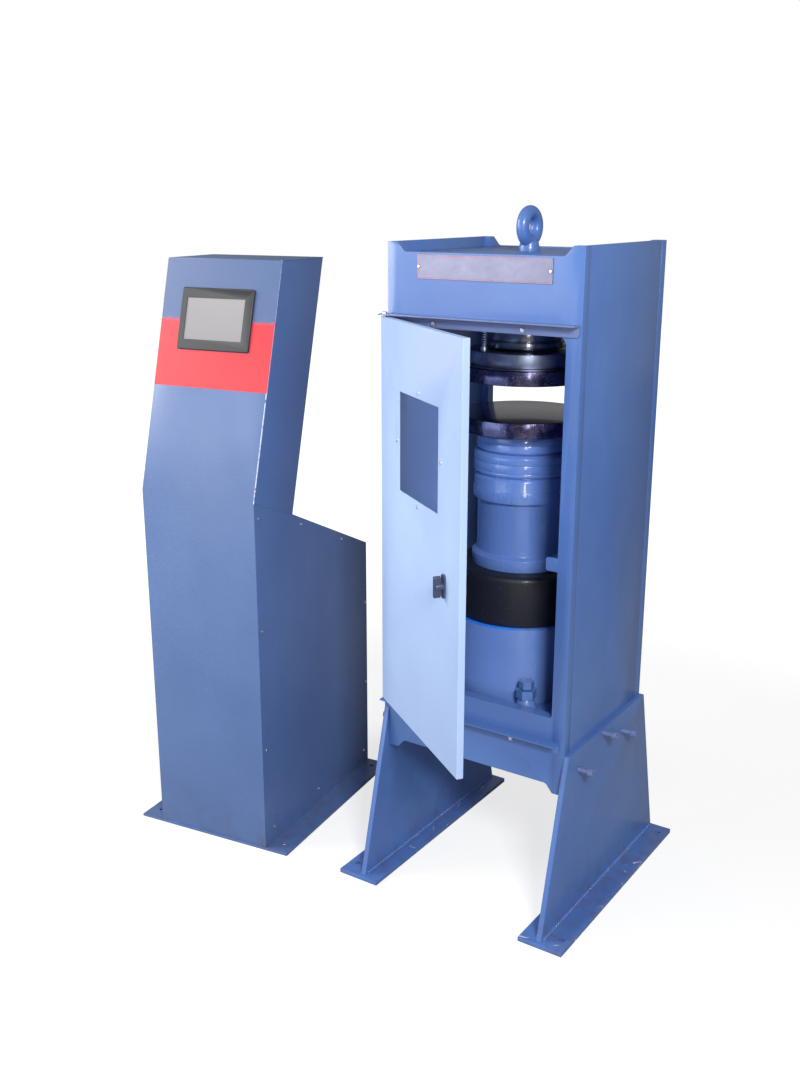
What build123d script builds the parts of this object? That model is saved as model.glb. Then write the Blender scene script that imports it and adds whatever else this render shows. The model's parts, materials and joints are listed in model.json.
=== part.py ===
from build123d import *
from math import asin, atan2, cos, degrees, hypot, radians, sin, sqrt, tan
import os

# A compression testing machine in two units that stand on one floor: the load frame with its hydraulic
# jack and platens, and the console with the screen, the pump and the valves.
# Lengths are in millimetres. The origin is on the floor under the axis of the load column, +Y is the back.

# Load frame: four plates welded round a crosshead and a base block
stile_width = 33
frame_depth = 404
plate_foot = 311
plate_height = 1160
face_plate = 25
side_plate = 14
notch_depth = 20
wing_flat = 26
wing_run = 16
notch_round = 10
base_lift = 14
base_thick = 122
crosshead_drop = 2
crosshead_thick = 143
window_width = 390
window_sill_rise = 20
window_head_drop = 6
window_top_round = 22
window_sill_round = 7

# Legs, with the foot plates welded under them
leg_thick = 12
leg_top = 407
leg_overhang = 101
leg_corner = 4
foot_thick = 10
foot_inward = 39
foot_outward = 54
foot_toe = 12
foot_weld = 6
anchor_x = 273
anchor_y = 270
anchor_r = 7
leg_bolt_places = [(-152, 358), (-30, 397), (82, 358)]
leg_bolt_r = 6
leg_bolt_head_r = 9
leg_bolt_head = 12
leg_bolt_proud = 35
bolt_clearance = 0.5
thread_clearance = 0.05

# Lifting eye
eye_outer_r = 44
eye_section_r = 14
eye_height = 95
eye_collar_r = 23
eye_neck_r = 19
eye_collar = 12
eye_shank_r = 12
eye_shank = 40
eye_turn = -1

# Nameplate on the front of the crosshead
nameplate_width = 314
nameplate_height = 50
nameplate_thick = 1.5
nameplate_x = 4
nameplate_drop = 4
nameplate_screw_inset = 4

# Hinge angles above and below the door
angle_leg = 25
angle_thick = 3
angle_left = -238
top_angle_end = 223
bottom_angle_end = 215
angle_round = 8
top_angle_rise = 22
bottom_angle_drop = 54
angle_screw_x = [-111, 99]
angle_screw_drop = 17
screw_r = 2.5
screw_length = 16
dome_r = 5.5
dome_height = 3

# Door: a folded pan that turns on two pins
door_open = 35
door_width = 433.5
door_thick = 14
door_sheet = 1.5
door_gap = 3
door_corner = 1.2
hinge_inset = 1
hinge_overhang = 5
hinge_stand = 14
pin_r = 3
pin_depth = 14
pin_head_r = 6
pin_head = 4
view_width = 210
view_height = 212
view_centre_rise = 630
pane_size = 250
pane_thick = 4
view_screw_reach = 117.5
view_screw_r = 2
view_screw_head_r = 4
view_screw_head = 2

# Lock: an escutcheon, a wing knob on its spindle, a cam behind the door and a strike tab on the frame
lock_x = 353.5
lock_drop = 244
lock_width = 17
lock_tall = 50
lock_thick = 4
lock_corner = 7
lock_neck_r = 8
spindle_hole_r = 6
lock_tang = 4
knob_r = 8.5
knob_neck = 5
knob_wing = 9
knob_deep = 13
knob_tall = 45
tab_width = 27
tab_height = 29
tab_thick = 6
tab_rise = 8
tab_round = 5
cam_gap = 1
cam_thick = 3
cam_width = 20
cam_length = 56
cam_nut_r = 9
cam_nut = 5
running_clearance = 0.05

# Jack: cylinder, ram and seals
jack_r = 158
jack_height = 175
jack_band = 42
jack_band_r = 160
bore_r = 128
jack_floor = 40
ram_clearance = 0.06
ram_lift = 50
ram_bottom_gap = 5
wiper_height = 3
wiper_r = 156
soft_gap = 0.3
seal_width = 8
seal_depth = 5
seal_rise = 20
cover_r = 150
cover_wall = 5
cover_top = 9
cover_height = 114
cover_shoulder = 12
port_turn = -54.9
port_reach = 181
port_boss_r = 17
port_foot_r = 26
port_boss_height = 27
port_rise = 10
port_nut_r = 23
port_nut = 20
port_cap_r = 17
port_cap = 16
port_neck_r = 9
port_shank = 14
port_neck = 3
gallery_r = 5
gallery_reach = 60

# Spacers, platens and the ball seat
spigot_r = 30
spigot_height = 6
spigot_clearance = 0.3
groove_chamfer = 6
tall_height = 210.5
tall_body_r = 100
tall_flange_r = 111
tall_flange = 25
tall_band = 25
tall_band_r = 110
tall_head = 30.5
tall_head_r = 108
mid_height = 52
mid_r = 110
top_height = 46
top_r = 105
line_width = 1.6
line_depth = 1
platen_r = 150
lower_platen_thick = 34
platen_edge = 1.5
platen_back_edge = 3
daylight = 77.5
upper_platen_thick = 33
disc_r = 125
disc_thick = 31
ball_r = 100
tilt_gap = 6
spindle_r = 86
socket_rim_r = 89
socket_rim = 14
spindle_neck_r = 35
spindle_neck = 40
hangers = 3
hanger_reach = 106
hanger_bolt_r = 4
hanger_bolt_grip = 16
hanger_head_r = 8
hanger_head = 8
spring_r = 6
spring_wire_r = 0.9
spring_turns = 9

# Console: turned on the floor beside the load frame
console_x = -664.6
console_y = -359.2
console_turn = 7.53
console_width = 317
console_depth = 538
console_sheet = 2
panel_sheet = 1.5
kink_height = 887.6
head_lean = 15.66
head_front = 555.5
head_depth = 183
seam_fall = 21
rear_height = 655
return_width = 30
base_plate = 6
base_strip = 62
base_toe = 3
base_hole_r = 6
base_hole_inset = 36
base_upstand = 60
panel_screw_front = 19
panel_screw_back = 10.5
panel_screw_low = 43
panel_screw_drop = 16.5
panel_screw_r = 2
panel_screw_length = 5
panel_screw_head_r = 3.8
panel_screw_head = 1.8

# Screen and printed overlay on the sloping face, placed up the face from the kink
overlay_bottom = 253
overlay_top = 554.5
overlay_thick = 0.5
bezel_width = 200
bezel_height = 145
bezel_x = -2.5
bezel_rise = 413.5
bezel_proud = 6
bezel_round = 5
screen_width = 162
screen_height = 98
screen_x = -5.5
screen_recess = 2
screen_glass = 2.5
unit_width = 190
unit_height = 136
unit_depth = 35
overlay_gap = 1

# Pump set and controls inside the console
tank_width = 240
tank_depth = 300
tank_height = 220
tank_front = 80
tank_wall = 3
lid_rim = 5
lid_thick = 6
motor_x = -45
motor_y = 230
motor_r = 65
motor_height = 210
motor_flange_r = 80
motor_flange = 12
motor_fin_r = 70
motor_fins = 7
shaft_r = 12
shaft_into_motor = 60
shaft_reach = 70
coupling_r = 24
coupling_height = 40
pump_bell_r = 45
pump_bell_wall = 6
pump_width = 90
pump_height = 80
pump_gap = 4
manifold_x = 80
manifold_y = 210
manifold_size = 80
manifold_height = 60
valve_size = 46
valve_height = 50
coil_r = 19
coil_height = 55
transducer_r = 13
transducer_height = 62
board_width = 200
board_height = 280
board_thick = 3
board_stand = 10
board_rise = 300
module_depth = 45

# Heights and places worked out from the sizes above
plate_top = plate_foot + plate_height
base_bottom = plate_foot + notch_depth + base_lift
base_top = base_bottom + base_thick
crosshead_top = plate_top - notch_depth - crosshead_drop
crosshead_bottom = crosshead_top - crosshead_thick
window_sill = base_top + window_sill_rise
window_head = crosshead_bottom - window_head_drop
frame_width = window_width + 2 * stile_width
half_width = frame_width / 2
half_depth = frame_depth / 2
inner_width = frame_width - 2 * side_plate
inner_depth = frame_depth - 2 * face_plate

jack_top = base_top + jack_height
wiper_top = jack_top + wiper_height
cover_bottom = wiper_top + soft_gap
cover_head = cover_bottom + cover_height
ram_r = bore_r - ram_clearance
ram_bottom = base_top + jack_floor + ram_bottom_gap
ram_head = cover_head - cover_top
tall_top = cover_head + tall_height
mid_top = tall_top + mid_height
top_top = mid_top + top_height
table_top = top_top + lower_platen_thick
upper_face = table_top + daylight
upper_back = upper_face + upper_platen_thick
disc_top = upper_back + disc_thick
seat_bottom = disc_top + tilt_gap

top_angle_top = window_head + top_angle_rise
bottom_angle_top = window_sill - bottom_angle_drop
door_bottom = bottom_angle_top + door_gap
door_top = top_angle_top - angle_thick - door_gap
pin_x = hinge_inset - half_width
pin_y = -half_depth - hinge_stand
door_outer = -door_thick / 2
door_inner = door_thick / 2
window_x = door_width / 2 - hinge_overhang
window_z = door_bottom + view_centre_rise
cam_depth = tab_thick + cam_gap - half_depth - pin_y
lock_height = window_z - lock_drop

front_plane = Plane.XZ.offset(half_depth)
door_plane = Plane(
    origin=(pin_x, pin_y, 0),
    x_dir=(cos(radians(door_open)), -sin(radians(door_open)), 0),
    z_dir=(0, 0, 1),
)
console_plane = Plane(
    origin=(console_x, console_y, 0),
    x_dir=(cos(radians(console_turn)), sin(radians(console_turn)), 0),
    z_dir=(0, 0, 1),
)


def facing_front(base, depth):
    """A sketch plane that looks out of the front of base, at this depth behind its origin."""
    return Plane(origin=base.from_local_coords((0, depth, 0)), x_dir=base.x_dir, z_dir=-base.y_dir)


def facing_side(base, across):
    """A sketch plane that looks along base's own X, at this distance across it: depth, then height."""
    return Plane(origin=base.from_local_coords((across, 0, 0)), x_dir=base.y_dir, z_dir=base.x_dir)


def outward(plane):
    """The axis that leaves a plane at its origin, to sort faces and edges along it."""
    return Axis(plane.origin, plane.z_dir)


def outline(*points):
    """Fill a closed outline of straight edges in the current sketch."""
    Polygon(*points, align=None)


def turned(points):
    """Turn a solid about the load axis from half of its section, given as (radius, height)."""
    with BuildSketch(Plane.XZ) as section:
        outline(*points)
    revolve(section.sketch, axis=Axis.Z)


def notched_plate():
    """Draw a face plate: tall, with a shallow notch in its top and bottom edges and a window."""
    wing = half_width - wing_flat
    floor = wing - wing_run
    low = plate_foot + notch_depth
    high = plate_top - notch_depth
    outline(
        (-half_width, plate_foot), (-wing, plate_foot), (-floor, low),
        (floor, low), (wing, plate_foot), (half_width, plate_foot),
        (half_width, plate_top), (wing, plate_top), (floor, high),
        (-floor, high), (-wing, plate_top), (-half_width, plate_top),
    )
    with Locations((0, (window_sill + window_head) / 2)):
        Rectangle(window_width, window_head - window_sill, mode=Mode.SUBTRACT)


def round_plate(sketch):
    """Round the floor of each notch and the corners of the window."""
    notch_x = half_width - wing_flat - wing_run
    inner = sketch.vertices().filter_by(lambda v: abs(abs(v.X) - notch_x) < 0.01)
    fillet(inner, notch_round)
    corners = sketch.vertices().filter_by(lambda v: abs(abs(v.X) - window_width / 2) < 0.01)
    fillet(corners.sort_by(Axis.Y)[-2:], window_top_round)
    corners = sketch.vertices().filter_by(lambda v: abs(abs(v.X) - window_width / 2) < 0.01)
    fillet(corners.sort_by(Axis.Y)[:2], window_sill_round)


os.makedirs("parts", exist_ok=True)

# Front plate, with the strike tab for the latch at the right edge of its window
angle_screws_top = [(x, top_angle_top - angle_screw_drop) for x in angle_screw_x]
angle_screws_bottom = [(x, bottom_angle_top - angle_screw_drop) for x in angle_screw_x]
nameplate_z = plate_top - notch_depth - nameplate_drop - nameplate_height / 2
nameplate_screw_reach = nameplate_width / 2 - nameplate_screw_inset
nameplate_screws_at = [(nameplate_x + side * nameplate_screw_reach, nameplate_z) for side in (-1, 1)]
tab_z = lock_height + tab_rise
with BuildPart() as front_plate:
    with BuildSketch(front_plane) as front_outline:
        notched_plate()
        round_plate(front_outline)
    extrude(amount=-face_plate)
    with BuildSketch(front_plane) as tab:
        with Locations((window_width / 2 - tab_width / 2 + tab_round, tab_z)):
            RectangleRounded(tab_width + 2 * tab_round, tab_height, tab_round)
    extrude(amount=-tab_thick)
    with BuildSketch(front_plane):
        with Locations(*angle_screws_top, *angle_screws_bottom, *nameplate_screws_at):
            Circle(screw_r + thread_clearance)
    extrude(amount=-screw_length, mode=Mode.SUBTRACT)
front_plate.part.label = "front_plate"
export_step(front_plate.part, "parts/front_plate.step")

# Back plate: the same outline and window, plain
with BuildPart() as back_plate:
    with BuildSketch(Plane.XZ.offset(-half_depth + face_plate)) as back_outline:
        notched_plate()
        round_plate(back_outline)
    extrude(amount=-face_plate)
back_plate.part.label = "back_plate"
export_step(back_plate.part, "parts/back_plate.step")

# Side plates between the two face plates, tapped for the leg bolts
for side, name in ((-1, "side_plate_left"), (1, "side_plate_right")):
    with BuildPart() as side_wall:
        with BuildSketch(facing_side(Plane.XY, side * (half_width - side_plate / 2))):
            with Locations((0, plate_foot + plate_height / 2)):
                Rectangle(inner_depth, plate_height)
            with Locations(*leg_bolt_places):
                Circle(leg_bolt_r + thread_clearance, mode=Mode.SUBTRACT)
        extrude(amount=side_plate / 2, both=True)
    side_wall.part.label = name
    export_step(side_wall.part, f"parts/{name}.step")

# Crosshead block, bored on top for the lifting eye and below for the spindle's neck and the hangers
with BuildPart() as crosshead:
    with BuildSketch(Plane.XY.offset(crosshead_bottom)):
        Rectangle(inner_width, inner_depth)
    extrude(amount=crosshead_thick)
    with BuildSketch(Plane.XY.offset(crosshead_top)):
        Circle(eye_shank_r + thread_clearance)
    extrude(amount=-eye_shank - 2, mode=Mode.SUBTRACT)
    with BuildSketch(Plane.XY.offset(crosshead_bottom)):
        Circle(spindle_neck_r + thread_clearance)
    extrude(amount=spindle_neck + 2, mode=Mode.SUBTRACT)
    with BuildSketch(Plane.XY.offset(crosshead_bottom)):
        with PolarLocations(hanger_reach, hangers):
            Circle(hanger_bolt_r + thread_clearance)
    extrude(amount=hanger_bolt_grip + 1, mode=Mode.SUBTRACT)
crosshead.part.label = "crosshead"
export_step(crosshead.part, "parts/crosshead.step")

# Base block under the jack, bored for the jack's spigot
with BuildPart() as base_block:
    with BuildSketch(Plane.XY.offset(base_bottom)):
        Rectangle(inner_width, inner_depth)
    extrude(amount=base_thick)
    with BuildSketch(Plane.XY.offset(base_top)):
        Circle(spigot_r + spigot_clearance)
    extrude(amount=-spigot_height - 1, mode=Mode.SUBTRACT)
base_block.part.label = "base_block"
export_step(base_block.part, "parts/base_block.step")

# Legs: a tapered plate against each side of the frame, welded on its foot plate
leg_foot = half_depth + leg_overhang
for side, name in ((-1, "leg_left"), (1, "leg_right")):
    leg_mid = side * (half_width + leg_thick / 2)
    foot_mid = side * (half_width + (leg_thick + foot_outward - foot_inward) / 2)
    foot_width = foot_inward + leg_thick + foot_outward
    with BuildPart() as leg:
        with BuildSketch(facing_side(Plane.XY, leg_mid)) as leg_outline:
            outline(
                (-leg_foot, foot_thick), (leg_foot, foot_thick), (half_depth, leg_top), (-half_depth, leg_top)
            )
            fillet(leg_outline.vertices().sort_by(Axis.Y)[-2:], leg_corner)
            with Locations(*leg_bolt_places):
                Circle(leg_bolt_r + bolt_clearance, mode=Mode.SUBTRACT)
        extrude(amount=leg_thick / 2, both=True)
        with BuildSketch(Plane.XY):
            with Locations((foot_mid, -foot_toe / 2)):
                Rectangle(foot_width, 2 * leg_foot + foot_toe)
            with Locations((side * anchor_x, -anchor_y), (side * anchor_x, anchor_y)):
                Circle(anchor_r, mode=Mode.SUBTRACT)
        extrude(amount=foot_thick)
        for face in (-1, 1):
            root = leg_mid + face * leg_thick / 2
            with BuildSketch(Plane.XZ):
                outline(
                    (root, foot_thick), (root + face * foot_weld, foot_thick), (root, foot_thick + foot_weld)
                )
            extrude(amount=leg_foot - foot_weld, both=True)
    leg.part.label = name
    export_step(leg.part, f"parts/{name}.step")

# Leg bolts: socket screws whose heads stand well off the legs
bolt_inner = half_width - side_plate
bolt_outer = half_width + leg_thick + leg_bolt_proud
with BuildPart() as leg_bolts:
    for side in (-1, 1):
        with BuildSketch(facing_side(Plane.XY, side * bolt_inner)):
            with Locations(*leg_bolt_places):
                Circle(leg_bolt_r)
        extrude(amount=side * (bolt_outer - bolt_inner - leg_bolt_head))
        with BuildSketch(facing_side(Plane.XY, side * bolt_outer)):
            with Locations(*leg_bolt_places):
                Circle(leg_bolt_head_r)
        extrude(amount=-side * leg_bolt_head)
        with BuildSketch(facing_side(Plane.XY, side * bolt_outer)):
            with Locations(*leg_bolt_places):
                RegularPolygon(leg_bolt_r * 0.8, 6)
        extrude(amount=-side * leg_bolt_head / 2, mode=Mode.SUBTRACT)
leg_bolts.part.label = "leg_bolts"
export_step(leg_bolts.part, "parts/leg_bolts.step")

# Lifting eye, screwed into the crosshead and turned a little as it tightened
ring_middle = crosshead_top + eye_height - eye_outer_r
turn = radians(eye_turn)
eye_plane = Plane(
    origin=(0, 0, ring_middle), x_dir=(-sin(turn), cos(turn), 0), z_dir=(cos(turn), sin(turn), 0),
)
with BuildPart() as lifting_eye:
    with Locations(eye_plane):
        Torus(eye_outer_r - eye_section_r, eye_section_r)
    shoulder = crosshead_top + eye_collar / 2
    neck = ring_middle - eye_outer_r + eye_section_r
    turned([
        (0, crosshead_top - eye_shank), (eye_shank_r, crosshead_top - eye_shank),
        (eye_shank_r, crosshead_top),
        (eye_collar_r, crosshead_top), (eye_collar_r, shoulder), (eye_neck_r, neck), (0, neck),
    ])
lifting_eye.part.label = "lifting_eye"
export_step(lifting_eye.part, "parts/lifting_eye.step")

# Nameplate, a thin sheet held by one screw at each end
with BuildPart() as nameplate:
    with BuildSketch(front_plane):
        with Locations((nameplate_x, nameplate_z)):
            RectangleRounded(nameplate_width, nameplate_height, 2)
        with Locations(*nameplate_screws_at):
            Circle(screw_r + thread_clearance, mode=Mode.SUBTRACT)
    extrude(amount=nameplate_thick)
nameplate.part.label = "nameplate"
export_step(nameplate.part, "parts/nameplate.step")


def domed_screws(seat, places, length, shank, head, height):
    """Dome-headed screws whose heads sit on the seat plane, on its outer side."""
    with BuildSketch(seat) as shanks:
        with Locations(*places):
            Circle(shank)
    extrude(shanks.sketch, amount=-length)
    with BuildSketch(seat) as heads:
        with Locations(*places):
            Circle(head)
    extrude(heads.sketch, amount=height, taper=25)


with BuildPart() as nameplate_screws:
    domed_screws(front_plane.offset(nameplate_thick), nameplate_screws_at,
                 screw_length, screw_r, dome_r * 0.7, dome_height * 0.7)
nameplate_screws.part.label = "nameplate_screws"
export_step(nameplate_screws.part, "parts/nameplate_screws.step")

# Hinge angles: a shelf over a leg that is screwed to the front plate
for name, top, right, screws in (
    ("hinge_angle_top", top_angle_top, top_angle_end, angle_screws_top),
    ("hinge_angle_bottom", bottom_angle_top, bottom_angle_end, angle_screws_bottom),
):
    with BuildPart() as hinge_angle:
        with BuildSketch(front_plane) as upright:
            outline(
                (angle_left, top), (angle_left, top - angle_leg), (right, top - angle_leg), (right, top)
            )
            fillet(upright.vertices().sort_by(Axis.Y)[:2].sort_by(Axis.X)[-1], angle_round)
            with Locations(*screws):
                Circle(screw_r + thread_clearance, mode=Mode.SUBTRACT)
        extrude(amount=angle_thick)
        with BuildSketch(Plane.XY.offset(top)):
            outline(
                (angle_left, -half_depth), (right, -half_depth),
                (right, -half_depth - angle_leg), (angle_left, -half_depth - angle_leg),
            )
            with Locations((pin_x, pin_y)):
                Circle(pin_r + running_clearance, mode=Mode.SUBTRACT)
        extrude(amount=-angle_thick)
    hinge_angle.part.label = name
    export_step(hinge_angle.part, f"parts/{name}.step")

with BuildPart() as hinge_angle_screws:
    domed_screws(front_plane.offset(angle_thick), angle_screws_top + angle_screws_bottom,
                 screw_length, screw_r, dome_r, dome_height)
hinge_angle_screws.part.label = "hinge_angle_screws"
export_step(hinge_angle_screws.part, "parts/hinge_angle_screws.step")

# Hinge pins: the upper one hangs from the shelf, the lower one stands up through it
shelf_under = bottom_angle_top - angle_thick
with BuildPart() as hinge_pins:
    for seat, into, head in (
        (top_angle_top, door_top - pin_depth - top_angle_top, pin_head),
        (shelf_under, door_bottom + pin_depth - shelf_under, -pin_head),
    ):
        with BuildSketch(Plane.XY.offset(seat)):
            with Locations((pin_x, pin_y)):
                Circle(pin_r)
        extrude(amount=into)
        with BuildSketch(Plane.XY.offset(seat)):
            with Locations((pin_x, pin_y)):
                Circle(pin_head_r)
        extrude(amount=head)
hinge_pins.part.label = "hinge_pins"
export_step(hinge_pins.part, "parts/hinge_pins.step")

# Door: a folded pan, open at the back, with a window and the hole for the lock
door_face = facing_front(door_plane, door_outer)
door_middle = door_width / 2 - hinge_overhang
door_height = door_top - door_bottom
view_screws_at = [
    (window_x, window_z + view_screw_reach), (window_x, window_z - view_screw_reach),
    (window_x - view_screw_reach, window_z), (window_x + view_screw_reach, window_z),
]
with BuildPart() as door_panel:
    with BuildSketch(door_face):
        with Locations((door_middle, (door_bottom + door_top) / 2)):
            Rectangle(door_width, door_height)
    extrude(amount=-door_thick)
    fillet(door_panel.edges().filter_by(Axis.Z).sort_by(outward(door_face))[-2:], door_corner)
    with BuildSketch(facing_front(door_plane, door_outer + door_sheet)):
        with Locations((door_middle, (door_bottom + door_top) / 2)):
            Rectangle(door_width - 2 * door_sheet, door_height - 2 * door_sheet)
    extrude(amount=-door_thick, mode=Mode.SUBTRACT)
    with BuildSketch(door_face):
        with Locations((window_x, window_z)):
            Rectangle(view_width, view_height)
        with Locations(*view_screws_at):
            Circle(view_screw_r + thread_clearance)
        with Locations((lock_x, lock_height)):
            Circle(lock_neck_r + thread_clearance)
    extrude(amount=-2 * door_sheet, mode=Mode.SUBTRACT)
    with BuildSketch(door_plane.offset(door_bottom)):
        Circle(pin_r + running_clearance)
    extrude(amount=door_height, mode=Mode.SUBTRACT)
door_panel.part.label = "door_panel"
export_step(door_panel.part, "parts/door_panel.step")

# Window pane behind the door's sheet, and its four screws
with BuildPart() as door_window:
    with BuildSketch(facing_front(door_plane, door_outer + door_sheet)):
        with Locations((window_x, window_z)):
            Rectangle(pane_size, pane_size)
        with Locations(*view_screws_at):
            Circle(view_screw_r + thread_clearance, mode=Mode.SUBTRACT)
    extrude(amount=-pane_thick)
door_window.part.label = "door_window"
export_step(door_window.part, "parts/door_window.step")

with BuildPart() as window_screws:
    domed_screws(
        door_face, view_screws_at, door_sheet + pane_thick, view_screw_r, view_screw_head_r, view_screw_head,
    )
window_screws.part.label = "window_screws"
export_step(window_screws.part, "parts/window_screws.step")

# Lock: a moulded escutcheon on the door, whose threaded neck goes through the sheet
lock_at = (lock_x, lock_height)
with BuildPart() as lock_housing:
    with BuildSketch(door_face):
        with Locations(lock_at):
            RectangleRounded(lock_width, lock_tall, lock_corner)
    extrude(amount=lock_thick)
    chamfer(lock_housing.faces().sort_by(outward(door_face))[-1].edges(), lock_thick * 0.2)
    with BuildSketch(door_face):
        with Locations(lock_at):
            Circle(lock_neck_r)
    extrude(amount=-door_thick)
    with BuildSketch(facing_front(door_plane, door_outer - lock_thick)):
        with Locations(lock_at):
            Circle(spindle_hole_r + running_clearance)
    extrude(amount=-lock_thick - door_thick, mode=Mode.SUBTRACT)
lock_housing.part.label = "lock_housing"
export_step(lock_housing.part, "parts/lock_housing.step")

# Knob: an upright wing on a round neck, with the spindle behind it and a square tang for the cam
knob_seat = door_outer - lock_thick - running_clearance
wing_seat = knob_seat - knob_neck
tang_end = cam_depth + cam_thick + cam_nut
with BuildPart() as lock_knob:
    with BuildSketch(facing_front(door_plane, wing_seat)):
        with Locations(lock_at):
            RectangleRounded(knob_wing, knob_tall, knob_wing * 0.45)
    extrude(amount=knob_deep)
    with BuildSketch(facing_front(door_plane, knob_seat)):
        with Locations(lock_at):
            Circle(knob_r)
    extrude(amount=knob_neck + knob_deep * 0.85)
    with BuildSketch(facing_front(door_plane, wing_seat)):
        with Locations(lock_at):
            Circle(spindle_hole_r)
    extrude(amount=wing_seat - cam_depth)
    with BuildSketch(facing_front(door_plane, cam_depth)):
        with Locations(lock_at):
            Rectangle(2 * lock_tang, 2 * lock_tang)
    extrude(amount=cam_depth - tang_end)
lock_knob.part.label = "lock_knob"
export_step(lock_knob.part, "parts/lock_knob.step")

# Latch cam hanging down behind the door, unlocked, with the nut that holds it on the tang
tang_hole = 2 * lock_tang + 2 * thread_clearance
with BuildPart() as latch_cam:
    with BuildSketch(facing_front(door_plane, cam_depth)):
        with Locations((lock_x, lock_height - cam_length / 2 + cam_width / 2)):
            RectangleRounded(cam_width, cam_length, cam_width * 0.45)
        with Locations(lock_at):
            Rectangle(tang_hole, tang_hole, mode=Mode.SUBTRACT)
    extrude(amount=-cam_thick)
    with BuildSketch(facing_front(door_plane, cam_depth + cam_thick)):
        with Locations(lock_at):
            RegularPolygon(cam_nut_r, 6)
            Rectangle(tang_hole, tang_hole, mode=Mode.SUBTRACT)
    extrude(amount=-cam_nut)
latch_cam.part.label = "latch_cam"
export_step(latch_cam.part, "parts/latch_cam.step")

# Jack cylinder with a thicker band at its foot, its bore, a locating spigot, and the oil port's boss
# with the gallery that leads from it up into the bore
port_angle = radians(port_turn)
port_x = port_reach * cos(port_angle)
port_y = port_reach * sin(port_angle)
port_top = base_top + port_boss_height
port_plane = Plane(
    origin=(0, 0, base_top + port_rise),
    x_dir=(-sin(port_angle), cos(port_angle), 0),
    z_dir=(cos(port_angle), sin(port_angle), 0),
)
with BuildPart() as jack_cylinder:
    turned([
        (0, base_top - spigot_height), (spigot_r, base_top - spigot_height), (spigot_r, base_top),
        (jack_band_r, base_top), (jack_band_r, base_top + jack_band), (jack_r, base_top + jack_band),
        (jack_r, jack_top), (bore_r, jack_top), (bore_r, base_top + jack_floor), (0, base_top + jack_floor),
    ])
    with Locations((port_x, port_y, base_top)):
        Cone(port_foot_r, port_boss_r, port_boss_height, align=(Align.CENTER, Align.CENTER, Align.MIN))
    web = port_reach - bore_r - 10
    with BuildSketch(Plane.XY.offset(base_top)):
        with Locations(Location((port_x, port_y), port_turn)):
            with Locations((-web / 2, 0)):
                Rectangle(web, 1.6 * port_boss_r)
    extrude(amount=port_boss_height)
    with BuildSketch(Plane.XY.offset(port_top)):
        with Locations((port_x, port_y)):
            Circle(port_neck_r)
    extrude(amount=-port_boss_height + port_rise, mode=Mode.SUBTRACT)
    with BuildSketch(port_plane.offset(gallery_reach)):
        Circle(gallery_r)
    extrude(amount=port_reach - gallery_reach, mode=Mode.SUBTRACT)
    with BuildSketch(Plane.XY.offset(base_top + jack_floor)):
        with Locations((gallery_reach * cos(port_angle), gallery_reach * sin(port_angle))):
            Circle(gallery_r)
    extrude(amount=-(jack_floor - port_rise), mode=Mode.SUBTRACT)
jack_cylinder.part.label = "jack_cylinder"
export_step(jack_cylinder.part, "parts/jack_cylinder.step")

# Oil port fitting: a union screwed down into the boss, with a cap nut that blanks it
with BuildPart() as oil_port_fitting:
    with BuildSketch(Plane.XY.offset(port_top)):
        with Locations((port_x, port_y)):
            Circle(port_neck_r - thread_clearance)
    extrude(amount=-port_shank)
    with BuildSketch(Plane.XY.offset(port_top)):
        with Locations((port_x, port_y)):
            RegularPolygon(port_nut_r, 6, rotation=port_turn + 30)
    extrude(amount=port_nut)
    with BuildSketch(Plane.XY.offset(port_top + port_nut)):
        with Locations((port_x, port_y)):
            Circle(port_neck_r)
    extrude(amount=port_neck)
    with BuildSketch(Plane.XY.offset(port_top + port_nut + port_neck)):
        with Locations((port_x, port_y)):
            RegularPolygon(port_cap_r, 6, rotation=port_turn + 30)
    extrude(amount=port_cap)
oil_port_fitting.part.label = "oil_port_fitting"
export_step(oil_port_fitting.part, "parts/oil_port_fitting.step")

# Wiper ring on the cylinder's rim, round the ram
with BuildPart() as wiper_ring:
    turned([
        (ram_r + soft_gap, jack_top), (wiper_r, jack_top), (wiper_r, wiper_top),
        (ram_r + soft_gap, wiper_top),
    ])
wiper_ring.part.label = "wiper_ring"
export_step(wiper_ring.part, "parts/wiper_ring.step")

# Ram with a groove for its seal
seal_bottom = ram_bottom + seal_rise
groove_r = ram_r - seal_depth
with BuildPart() as ram:
    turned([
        (0, ram_bottom), (ram_r, ram_bottom), (ram_r, seal_bottom), (groove_r, seal_bottom),
        (groove_r, seal_bottom + seal_width), (ram_r, seal_bottom + seal_width), (ram_r, ram_head),
        (0, ram_head),
    ])
ram.part.label = "ram"
export_step(ram.part, "parts/ram.step")

with BuildPart() as piston_seal:
    turned([
        (groove_r + 0.05, seal_bottom + 0.05), (bore_r - 0.05, seal_bottom + 0.05),
        (bore_r - 0.05, seal_bottom + seal_width - 0.05),
        (groove_r + 0.05, seal_bottom + seal_width - 0.05),
    ])
piston_seal.part.label = "piston_seal"
export_step(piston_seal.part, "parts/piston_seal.step")

# Ram cover: a black cap over the ram's head, round-shouldered, with a spigot for the spacers
with BuildPart() as ram_cover:
    turned([
        (0, ram_head), (cover_r - cover_wall, ram_head), (cover_r - cover_wall, cover_bottom),
        (cover_r, cover_bottom), (cover_r, cover_head), (0, cover_head),
    ])
    fillet(ram_cover.edges().group_by(Axis.Z)[-1].sort_by(SortBy.RADIUS)[-1], cover_shoulder)
    with BuildSketch(Plane.XY.offset(cover_head)):
        Circle(spigot_r)
    extrude(amount=spigot_height)
ram_cover.part.label = "ram_cover"
export_step(ram_cover.part, "parts/ram_cover.step")

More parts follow.
